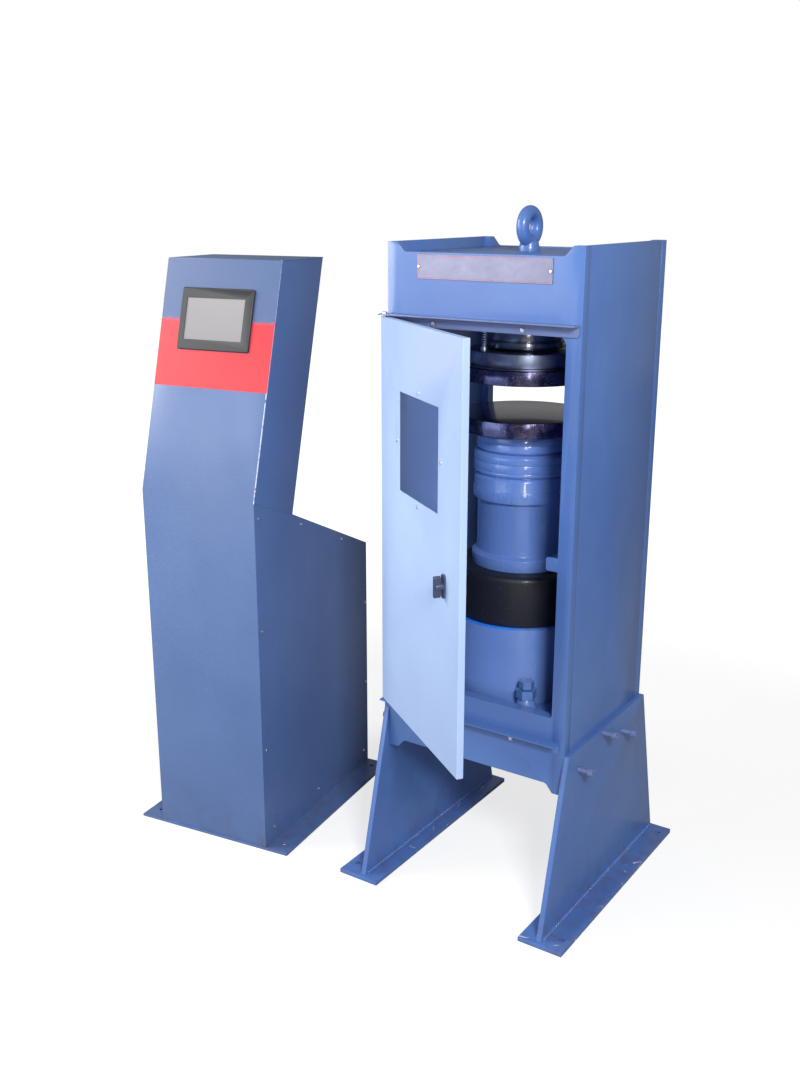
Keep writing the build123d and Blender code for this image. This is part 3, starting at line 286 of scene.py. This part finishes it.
def seen_by_lens(finish):
    """1 for a ray from the camera, also through glass, and 0 for light between pieces."""
    path = finish.node("ShaderNodeLightPath", {}, {}, "Is Camera Ray")
    return path.larger(path["Is Transmission Ray"])


floor_paint = Finish("studio_floor")
seen = seen_by_lens(floor_paint)
across, along = floor_paint.axes()[:2]
far = (across * across + along * along).ramp(near_square, far_square)
paper = floor_paint.mix(seen, bounce_grey, paper_white)
floor_paint.set(Base_Color=paper, Roughness=0.9, Specular_IOR_Level=0.0)
glow = floor_paint.node("ShaderNodeEmission", {}, {"Color": white, "Strength": 1.15})
lit = Channel(floor_paint, floor_paint.surface.outputs[0])
white_share = seen * (far * (1 - near_white) + near_white)
both = floor_paint.node("ShaderNodeMixShader", {}, {0: white_share, 1: lit, 2: glow})
floor_paint.fill(floor_paint.tree.nodes["Material Output"].inputs["Surface"], both)

bpy.ops.object.select_all(action="DESELECT")
bpy.ops.mesh.primitive_plane_add(size=24, location=(0, 0, 0))
floor = bpy.context.object
floor.name = "studio_floor"
floor.data.materials.append(floor_paint.material)

world = bpy.data.worlds.new("studio")
bpy.context.scene.world = world
backdrop = Finish(world)
backdrop.set(Color=white, Strength=seen_by_lens(backdrop) * (1 - fill_light) + fill_light)
bpy.context.scene.view_settings.view_transform = "Standard"
print("floor:", floor.name, "background:", world.name)

# %% [markdown]
# ## Paint on steel
#
# Both units are sprayed. Sprayed paint is never level: it has a fine orange peel a few millimetres
# across, the colour is a shade uneven where the coats overlap, and dust and handling dull it in
# patches. Those three are noise at three sizes. The peel goes into the normal, the patches into the
# roughness, and the coats into the colour. Scratches are noise stretched into threads and gathered
# in patches. Dirt and scuffs are kept near the floor by the point's height.

# %% Sprayed paint
dust = colour(225, 230, 240)
scratch = colour(205, 214, 236)
grime_brown = colour(92, 74, 66)
scuff_pale = colour(206, 216, 240)
grime_top = 0.14


def sprayed(name, shade, deep, gloss, peel, grain=0.0028, dirt=0.0, scratches=0.12, scuffs=0.0,
            coat=0.25, coat_rough=0.1):
    """Paint whose colour wanders between shade and deep.

    gloss is its roughness where clean. The orange peel is peel metres deep and grain metres wide.
    dirt, scratches and scuffs say how strongly each shows, and coat and coat_rough are the weight
    and the roughness of the clear coat."""
    paint = Finish(name)
    coats = paint.noise(0.35, 4.0).ramp(0.35, 0.68)
    smears = paint.noise(0.09, 6.0, (1, 1, 0.35)).ramp(0.42, 0.72)
    body = paint.mix(coats, shade, deep)
    speck = paint.noise(0.004, 2.0).ramp(0.71, 0.76)
    body = paint.mix(speck * 0.14, body, dust)
    level = paint.noise(0.0011, 2.0, (0.03, 0.03, 1)).ramp(0.70, 0.74)
    upright = paint.noise(0.0011, 2.0, (1, 1, 0.025)).ramp(0.72, 0.76)
    handled = paint.noise(0.07, 3.0).ramp(0.56, 0.70)
    body = paint.mix((level + upright) * handled * scratches, body, scratch)
    if dirt:
        low = paint.axes()[2].ramp(grime_top, 0.0)
        grime = paint.noise(0.03, 6.0).ramp(0.45, 0.75) * low * dirt
        body = paint.mix(grime, body, grime_brown)
    if scuffs:
        threads = abs(paint.noise(0.10, 1.0) - 0.5).ramp(0.006, 0.003)
        scored = threads * paint.noise(0.05, 2.0).ramp(0.54, 0.58)
        on_foot = paint.axes()[2].ramp(0.02, 0.011)
        body = paint.mix(scored * on_foot * scuffs, body, scuff_pale)
    paint.set(
        Base_Color=body,
        Roughness=gloss + smears * 0.12,
        Coat_Roughness=coat_rough,
        Coat_Weight=coat,
        Normal=paint.bump(paint.noise(grain, 2.0), peel, paint.soft_edge(0.001)),
    )
    return paint


frame_blue = sprayed("frame_blue_spray", colour(84, 119, 181), colour(72, 105, 170),
                     gloss=0.32, peel=0.00012, dirt=0.5, scuffs=0.8)
console_blue = sprayed("console_blue_spray", colour(86, 113, 163), colour(77, 103, 153),
                       gloss=0.40, peel=0.0007, grain=0.0024, dirt=0.4, coat=0.35, coat_rough=0.26)
hinge_blue = sprayed("hinge_blue_spray", colour(112, 127, 172), colour(98, 113, 160),
                     gloss=0.3, peel=0.0006, grain=0.003, scratches=0.3)
column_blue = sprayed("column_blue_spray", colour(100, 131, 194), colour(88, 119, 184),
                      gloss=0.22, peel=0.00008, coat=0.8)
door_pale = sprayed("door_pale_spray", colour(178, 201, 237), colour(169, 192, 232),
                    gloss=0.4, peel=0.0001)
gloss_black = sprayed("gloss_black_spray", colour(14, 17, 30), colour(9, 12, 24),
                      gloss=0.55, peel=0.0002, grain=0.006, coat=0.12)
motor_grey = sprayed("motor_grey_spray", colour(110, 114, 120), colour(96, 100, 106),
                     gloss=0.5, peel=0.0003)
print("paints:", [m.name for m in bpy.data.materials if m.name.endswith("_spray")])

# %% [markdown]
# ## Chips along a bend
#
# The right edge of the console's slope is a bend, and bends are knocked first: there the paint is
# chipped along a thin broken line, and the bend's radius catches the light. Both are drawn as one
# pale broken line, partly chips and partly a painted highlight. It could be a strip laid on the
# edge, but chips and a highlight are only colour, so they are mixed into the paint's colour. The
# console stands a little turned, so the point's distance across it, and how far it lies behind the
# sloping face, are worked out along its own directions. The line is where the first is large and
# the second small.

# %% Chipped paint and a painted highlight
console_at = (-0.6646, -0.3592)
console_turn = radians(7.53)
slope_lean = radians(15.66)
slope_foot = 0.8876
bend_starts, bend_is_full = 0.1560, 0.1568
skin_ends, skin_is_full = 0.0022, 0.0014
primer_and_highlight = colour(222, 230, 246)

across, along, up = console_blue.axes()
right = across - console_at[0]
back = along - console_at[1]
over = right * cos(console_turn) + back * sin(console_turn)
deep = back * cos(console_turn) - right * sin(console_turn)
behind = deep - (up - slope_foot) * tan(slope_lean)
bend = over.ramp(bend_starts, bend_is_full) * behind.ramp(skin_ends, skin_is_full)
chip_and_glint_noise = console_blue.noise(0.007, 4.0).ramp(0.34, 0.46)
# partly chips and partly a painted highlight: the bend's glint is painted into the same pale line
chipped_and_highlit = bend * up.above(slope_foot) * chip_and_glint_noise * 0.8
console_blue.set(Base_Color=console_blue.mix(chipped_and_highlit, console_blue.base(), primer_and_highlight))
print("the paint is chipped from", round(bend_starts / mm), "mm to the right of the middle")

# %% [markdown]
# ## Bare and plated metal
#
# Turned steel has fine rings round its axis: noise squeezed along Z and smooth round the part gives
# them. Blackened steel is the same under a thin oil film, which is a dark colour with a clear coat.
# The rims of the platens were only rough turned, and the blacking left them speckled: a fine noise
# is cut off high to make the specks, and a coarse one gathers them into clusters. A distance from
# the axis tells where the rim is.

# %% Metals
bare_speck = colour(206, 200, 236)


def metal(name, shade, roughness, rings=0.0, cloud=0.1, brush=None, coat=0.0, rim_radius=None):
    """Metal with dull patches.

    cloud says how much duller the patches are, rings is how many metres deep the marks of turning
    are, brush is the stretch of a straight grain, and rim_radius is set where a rim is speckled."""
    steel = Finish(name)
    patches = steel.noise(0.05, 5.0).ramp(0.35, 0.7)
    dull = steel.noise(0.012, 4.0).ramp(0.3, 0.8)
    tone = steel.mix(patches * 0.35, shade, darker(shade, 0.6, 0.6, 0.62))
    rough = dull * cloud + roughness
    if rim_radius:
        across, along = steel.axes()[:2]
        square = rim_radius ** 2
        rim = (across * across + along * along).ramp(square * 0.985, square * 0.995)
        fine = steel.noise(0.0014, 2.0).ramp(0.55, 0.68)
        clusters = steel.noise(0.022, 3.0).ramp(0.36, 0.66)
        pitted = fine * clusters * rim
        tone = steel.mix(pitted * 0.75, tone, bare_speck)
        rough = rough + pitted * 0.25
    normal = steel.soft_edge(0.0008)
    if rings:
        normal = steel.bump(steel.noise(0.0012, 2.0, (0.02, 0.02, 1)), rings, normal)
    elif brush:
        normal = steel.bump(steel.noise(0.0009, 3.0, brush), 0.00003, normal)
    steel.set(Base_Color=tone, Metallic=1.0, Roughness=rough, Coat_Weight=coat,
              Coat_Roughness=0.05, Normal=normal)
    return steel


bright_zinc = metal("bright_zinc", colour(236, 238, 244), 0.34)
dull_zinc = metal("dull_zinc", colour(170, 172, 178), 0.4)
ground_steel = metal("ground_steel", colour(176, 180, 190), 0.26, rings=0.00002)
spindle_chrome = metal("spindle_chrome", colour(158, 160, 168), 0.16, rings=0.00001, cloud=0.06)
oiled_black = metal("oiled_black", colour(76, 73, 106), 0.17, rings=0.00002, cloud=0.12,
                    coat=0.6, rim_radius=0.15)
disc_steel = metal("disc_steel", colour(140, 150, 172), 0.28, rings=0.00003, cloud=0.15,
                   rim_radius=0.125)
plate_silver = metal("plate_silver", colour(136, 137, 160), 0.36, brush=(0.03, 1, 1))
print("metals added, materials so far:", len(bpy.data.materials))

# %% [markdown]
# ## The nameplate's border
#
# The nameplate is brushed metal with a red line printed 3 mm inside its edge, and the line is half
# worn away. Its words are left out. The line could be four thin pieces, but it has no thickness, so
# it is a band in the plate's colour: how far a point lies inside the nearest edge tells whether it
# is on the line. Print isn't metal, so the same band takes the metal's shine away.

# %% A worn red line
border_red = colour(196, 60, 72)
lowest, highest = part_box("nameplate")
middle = (lowest + highest) / 2
half = (highest - lowest) / 2
across, along, up = plate_silver.axes()
inset = (abs(across - middle.x) - half.x).larger(abs(up - middle.z) - half.z)
line = inset.ramp(-0.0036, -0.0034) * inset.ramp(-0.0024, -0.0026)
worn = plate_silver.noise(0.006, 3.0).ramp(0.36, 0.5)
printed = line * worn * 0.8
plate_silver.set(Base_Color=plate_silver.mix(printed, plate_silver.base(), border_red),
                 Metallic=1.0 - printed)
print("the red line runs round a plate", round(2 * half.x / mm), "mm wide")

# %% [markdown]
# ## Plastics, rubber and glass
#
# The lock, the screen's frame, the circuit board and the seals are moulded. Their colour hardly
# varies and a fine grain softens their shine, so one helper makes them all. The wiper ring round
# the ram is a bright blue, with painted shade darkening its right end. The door's pane is a clear
# sheet with a blue tint. A solid block of glass would bend what is seen through it, and a thin pane
# doesn't, so its index of refraction is set close to that of air.


# %% Plastics and glass
def moulded(name, shade, roughness):
    plastic = Finish(name)
    speckle = plastic.noise(0.0006, 2.0)
    cloud = plastic.noise(0.04, 3.0).ramp(0.3, 0.7) * 0.25
    tone = plastic.mix(cloud, shade, darker(shade, 0.7, 0.7, 0.7))
    plastic.set(Base_Color=tone, Roughness=roughness + speckle * 0.1,
                Normal=plastic.bump(speckle, 0.00003))
    return plastic


black_plastic = moulded("black_plastic", colour(22, 22, 24), 0.4)
lock_slate = moulded("lock_slate", colour(58, 66, 92), 0.3)
bezel_grey = moulded("bezel_grey", colour(46, 47, 51), 0.42)
seal_rubber = moulded("seal_rubber", colour(20, 20, 20), 0.7)
board_green = moulded("board_green", colour(22, 78, 44), 0.3)

wiper_blue = moulded("wiper_blue", colour(30, 125, 245), 0.4)
# painted shade: towards its right end the ring's bright blue is mixed into a dark blue
painted_shade_from, painted_shade_to = 0.052, 0.092
painted_shade_end = wiper_blue.axes()[0].ramp(painted_shade_from, painted_shade_to) * 0.85
wiper_blue.set(Base_Color=wiper_blue.mix(painted_shade_end, wiper_blue.base(), colour(70, 100, 160)))

clear_sheet = Finish("clear_sheet")
haze = clear_sheet.noise(0.03, 4.0).ramp(0.4, 0.8)
clear_sheet.set(Base_Color=(0.60, 0.74, 0.98, 1), Roughness=0.03 + haze * 0.04,
                Transmission_Weight=0.94, IOR=1.1)
print("plastics and glass added, materials so far:", len(bpy.data.materials))

# %% [markdown]
# ## The printed film and the screen
#
# The film on the console's slope is printed red below and blue above, with the blue breaking up
# into dots where the two meet. The film's words are left out. Height is enough to tell where a
# point is on the film, because the slope rises steadily. The screen is a pale grey with a painted
# glare that makes it lighter towards its top.

# %% Film and screen
red_reaches = 413
colours_meet = slope_foot + red_reaches * mm * cos(slope_lean)

film = Finish("printed_film")
wander = film.noise(0.02, 4.0) - 0.5
past_edge = film.axes()[2] - colours_meet + wander * 0.006
dots = film.node("ShaderNodeTexVoronoi", {"feature": "F1"},
                 {"Vector": film.place, "Scale": 260.0, "Randomness": 0.25})
blue_part = ((past_edge * 60 + 0.5) - dots * 0.9).ramp(-0.12, 0.12)
film.set(Base_Color=film.mix(blue_part, colour(222, 41, 52), colour(76, 99, 142)),
         Roughness=0.3 + film.noise(0.05, 4.0) * 0.1, Coat_Weight=0.1, Coat_Roughness=0.3,
         Normal=film.bump(film.noise(0.0014, 2.0), 0.00005))

display = Finish("screen_display")
# painted glare: the screen's grey is lighter towards its top
painted_glare = (display.axes()[2] - colours_meet) * 3.0 + display.noise(0.12, 2.0) * 0.2
shown = display.mix(painted_glare.ramp(-0.15, 0.35), colour(150, 147, 149), colour(166, 163, 166))
display.set(Base_Color=shown, Roughness=0.12, Coat_Weight=0.4)
print("film turns from red to blue at", round(colours_meet, 3), "m")

# %% [markdown]
# ## Which finish goes where
#
# Each solid is made of one stuff, so it takes one finish. The finishes could be set solid by solid,
# but a table from finish to solids says each name once, and shows at a glance what is painted
# together. A solid that was forgotten would be printed below.

# %% The finish of each node
finish_of = {
    frame_blue: ["front_plate", "back_plate", "side_plate_left", "side_plate_right", "crosshead",
                 "base_block", "leg_left", "leg_right", "lifting_eye", "oil_port_fitting",
                 "hinge_angle_bottom"],
    hinge_blue: ["hinge_angle_top", "leg_bolts"],
    column_blue: ["jack_cylinder", "spacer_tall", "spacer_mid", "spacer_top"],
    door_pale: ["door_panel"],
    console_blue: ["console_base", "console_front", "console_head", "console_side_left",
                   "console_side_right", "console_rear_cover"],
    gloss_black: ["ram_cover"],
    oiled_black: ["lower_platen", "upper_platen"],
    disc_steel: ["ball_disc"],
    ground_steel: ["ram", "motor_shaft"],
    spindle_chrome: ["spindle"],
    bright_zinc: ["nameplate_screws", "hinge_angle_screws", "hinge_pins", "window_screws",
                  "disc_hanger_bolts", "crosshead_hanger_bolts", "hanger_springs",
                  "console_screws"],
    dull_zinc: ["latch_cam", "oil_tank", "tank_lid", "pressure_transducer", "gear_pump",
                "valve_manifold"],
    plate_silver: ["nameplate"],
    black_plastic: ["solenoid_valve"],
    lock_slate: ["lock_housing", "lock_knob"],
    bezel_grey: ["screen_bezel"],
    seal_rubber: ["piston_seal"],
    wiper_blue: ["wiper_ring"],
    board_green: ["control_board"],
    motor_grey: ["pump_motor"],
    clear_sheet: ["door_window"],
    film: ["console_overlay"],
    display: ["touch_glass"],
}
coated = {node: finish for finish, nodes in finish_of.items() for node in nodes}
for node, finish in coated.items():
    frame["nodes"][node].data.materials.clear()
    frame["nodes"][node].data.materials.append(finish.material)
print("nodes without a finish:", sorted(set(frame["nodes"]) - set(coated)))

# %% [markdown]
# ## A copy that stands in for a solid
#
# The solids arrive cut into triangles, each with corners of its own, and such a mesh can't be
# rounded. The solid itself has to stay as it is. So a copy is made, its loose triangles are joined
# and its flat faces made whole. A copy takes the place of its node: it is tied to the same body,
# so that it moves with the joints, and the node is hidden.


# %% Copy and merge
def alone(piece):
    """Make this the one piece that is selected and active."""
    bpy.ops.object.select_all(action="DESELECT")
    piece.select_set(True)
    bpy.context.view_layer.objects.active = piece


def merged_copy(node, name):
    """A copy of a node's solid whose triangles are joined and whose flat faces are whole."""
    piece = bpy.data.objects.new(name, frame["nodes"][node].data.copy())
    bpy.context.scene.collection.objects.link(piece)
    alone(piece)
    if piece.data.has_custom_normals:
        bpy.ops.mesh.customdata_custom_splitnormals_clear()
    bpy.ops.object.mode_set(mode="EDIT")
    bpy.ops.mesh.select_all(action="SELECT")
    bpy.ops.mesh.remove_doubles(threshold=0.00001)
    bpy.ops.mesh.dissolve_limited(angle_limit=radians(0.4))
    bpy.ops.object.mode_set(mode="OBJECT")
    return piece


def stand_for(piece, node):
    """Shade a copy smooth, tie it to its node's body and hide the node."""
    alone(piece)
    bpy.ops.object.shade_smooth_by_angle(angle=radians(32))
    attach(piece, body_of[node])
    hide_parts(node)


print("nodes that a copy can stand in for:", len(body_of))

# %% [markdown]
# ## Rounding what the drawing leaves sharp
#
# A drawing's edges are knife sharp and no real edge is. The plates were flame cut and dressed with
# a grinder, so theirs are about a millimetre round, and the door and the console are folded sheets
# whose bends turn at a little more than the sheet's thickness. A finish can shade an edge soft but
# can't move its outline, and on a bend this wide the outline shows, so the shape itself is
# bevelled. On a folded sheet only the edges between two broad faces are bends: the cut edge of the
# sheet stays crisp.


# %% Bevel the long edges
def pick_edges(piece, least, broad):
    """Select the sharp edges at least this long whose two faces are both this large."""
    alone(piece)
    bpy.ops.object.mode_set(mode="EDIT")
    bpy.ops.mesh.select_mode(type="EDGE")
    bpy.ops.mesh.select_all(action="DESELECT")
    bpy.ops.mesh.edges_select_sharp(sharpness=radians(25))
    bpy.ops.object.mode_set(mode="OBJECT")
    mesh = piece.data
    smaller_face = {}
    for face in mesh.polygons:
        for key in face.edge_keys:
            smaller_face[key] = min(face.area, smaller_face.get(key, face.area))
    picked = 0
    for edge in mesh.edges:
        start, end = (mesh.vertices[v].co for v in edge.vertices)
        long_enough = (end - start).length >= least
        edge.select = edge.select and long_enough and smaller_face.get(edge.key, 0) >= broad
        picked += edge.select
    return picked


def rounded(node, width, least=0.012, broad=0.0, segments=2):
    """Stand a copy with bevelled edges in for a node."""
    piece = merged_copy(node, "rounded_" + node)
    if pick_edges(piece, least, broad):
        bpy.ops.object.mode_set(mode="EDIT")
        bpy.ops.mesh.bevel(offset=width, segments=segments, affect="EDGES", clamp_overlap=True)
        bpy.ops.object.mode_set(mode="OBJECT")
    stand_for(piece, node)


for node in ("front_plate", "back_plate", "side_plate_left", "side_plate_right", "crosshead",
             "base_block", "leg_left", "leg_right"):
    rounded(node, 0.0012)
for node in ("door_panel", "console_front", "console_head", "console_side_left",
             "console_side_right", "console_rear_cover"):
    rounded(node, 0.0022, least=0.02, broad=0.003, segments=3)
for node in ("screen_bezel", "hinge_angle_top", "hinge_angle_bottom", "lock_housing", "lock_knob"):
    rounded(node, 0.0007, least=0.004)

# %% [markdown]
# ## Turned pieces
#
# The pieces of the column come as flat facets round their axis. Joined and shaded smooth up to 32
# degrees, the facets read as one surface while the corners of grooves and chamfers stay crisp. The
# corners are then broken by half a millimetre, as a turner does with a file, which gives each
# groove the thin bright line that the photo shows. The eye, the oil port, the bolts and the pins
# are only joined and shaded smooth, because they are too small for a broken corner to show.

# %% Smooth the column
for node in ("jack_cylinder", "spacer_tall", "spacer_mid", "spacer_top", "ram_cover",
             "lower_platen", "upper_platen", "ball_disc", "spindle", "wiper_ring"):
    rounded(node, 0.0005, least=0.001)
for node in ("lifting_eye", "oil_port_fitting", "leg_bolts", "disc_hanger_bolts",
             "crosshead_hanger_bolts", "hinge_pins"):
    stand_for(merged_copy(node, "smooth_" + node), node)

# %% [markdown]
# ## Weld beads
#
# The legs are welded to their foot plates by hand. A hand-laid bead is a row of small drops, each
# frozen half over the one before, so it looks like a stack of coins pushed over. A bump could only
# shade it, and its ripple shows against the light, so it is made: one drop is a flattened ball, and
# an array lays the row. It sits in the fillet that the solid already has.

# %% Beads along the feet
leg_faces = (0.228, 0.240)
foot_top = 0.010
bead_half = 0.292
drop_radius = 0.0042
drop_flat = 0.62
drop_pitch = 0.0034
drop_lift = 0.002
drop_out = 0.0022
drops = int(2 * bead_half / drop_pitch) + 1


def bead(name, x, body):
    bpy.ops.object.select_all(action="DESELECT")
    bpy.ops.mesh.primitive_uv_sphere_add(segments=12, ring_count=6, radius=drop_radius,
                                         location=(x, -bead_half, foot_top + drop_lift))
    drop = bpy.context.object
    drop.name = name
    drop.scale = (1.0, drop_flat, 1.0)
    bpy.ops.object.transform_apply(location=True, rotation=True, scale=True)
    row = drop.modifiers.new("row", "ARRAY")
    row.use_relative_offset = False
    row.use_constant_offset = True
    row.constant_offset_displace = (0, drop_pitch, 0)
    row.count = drops
    bpy.ops.object.modifier_apply(modifier="row")
    bpy.ops.object.shade_smooth()
    drop.data.materials.append(frame_blue.material)
    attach(drop, body)


for side, word in ((-1, "left"), (1, "right")):
    for face, face_word, out in zip(leg_faces, ("inner", "outer"), (-drop_out, drop_out)):
        bead(f"weld_bead_{word}_{face_word}", side * (face + out), body_of["leg_" + word])
print("drops in a bead:", drops)
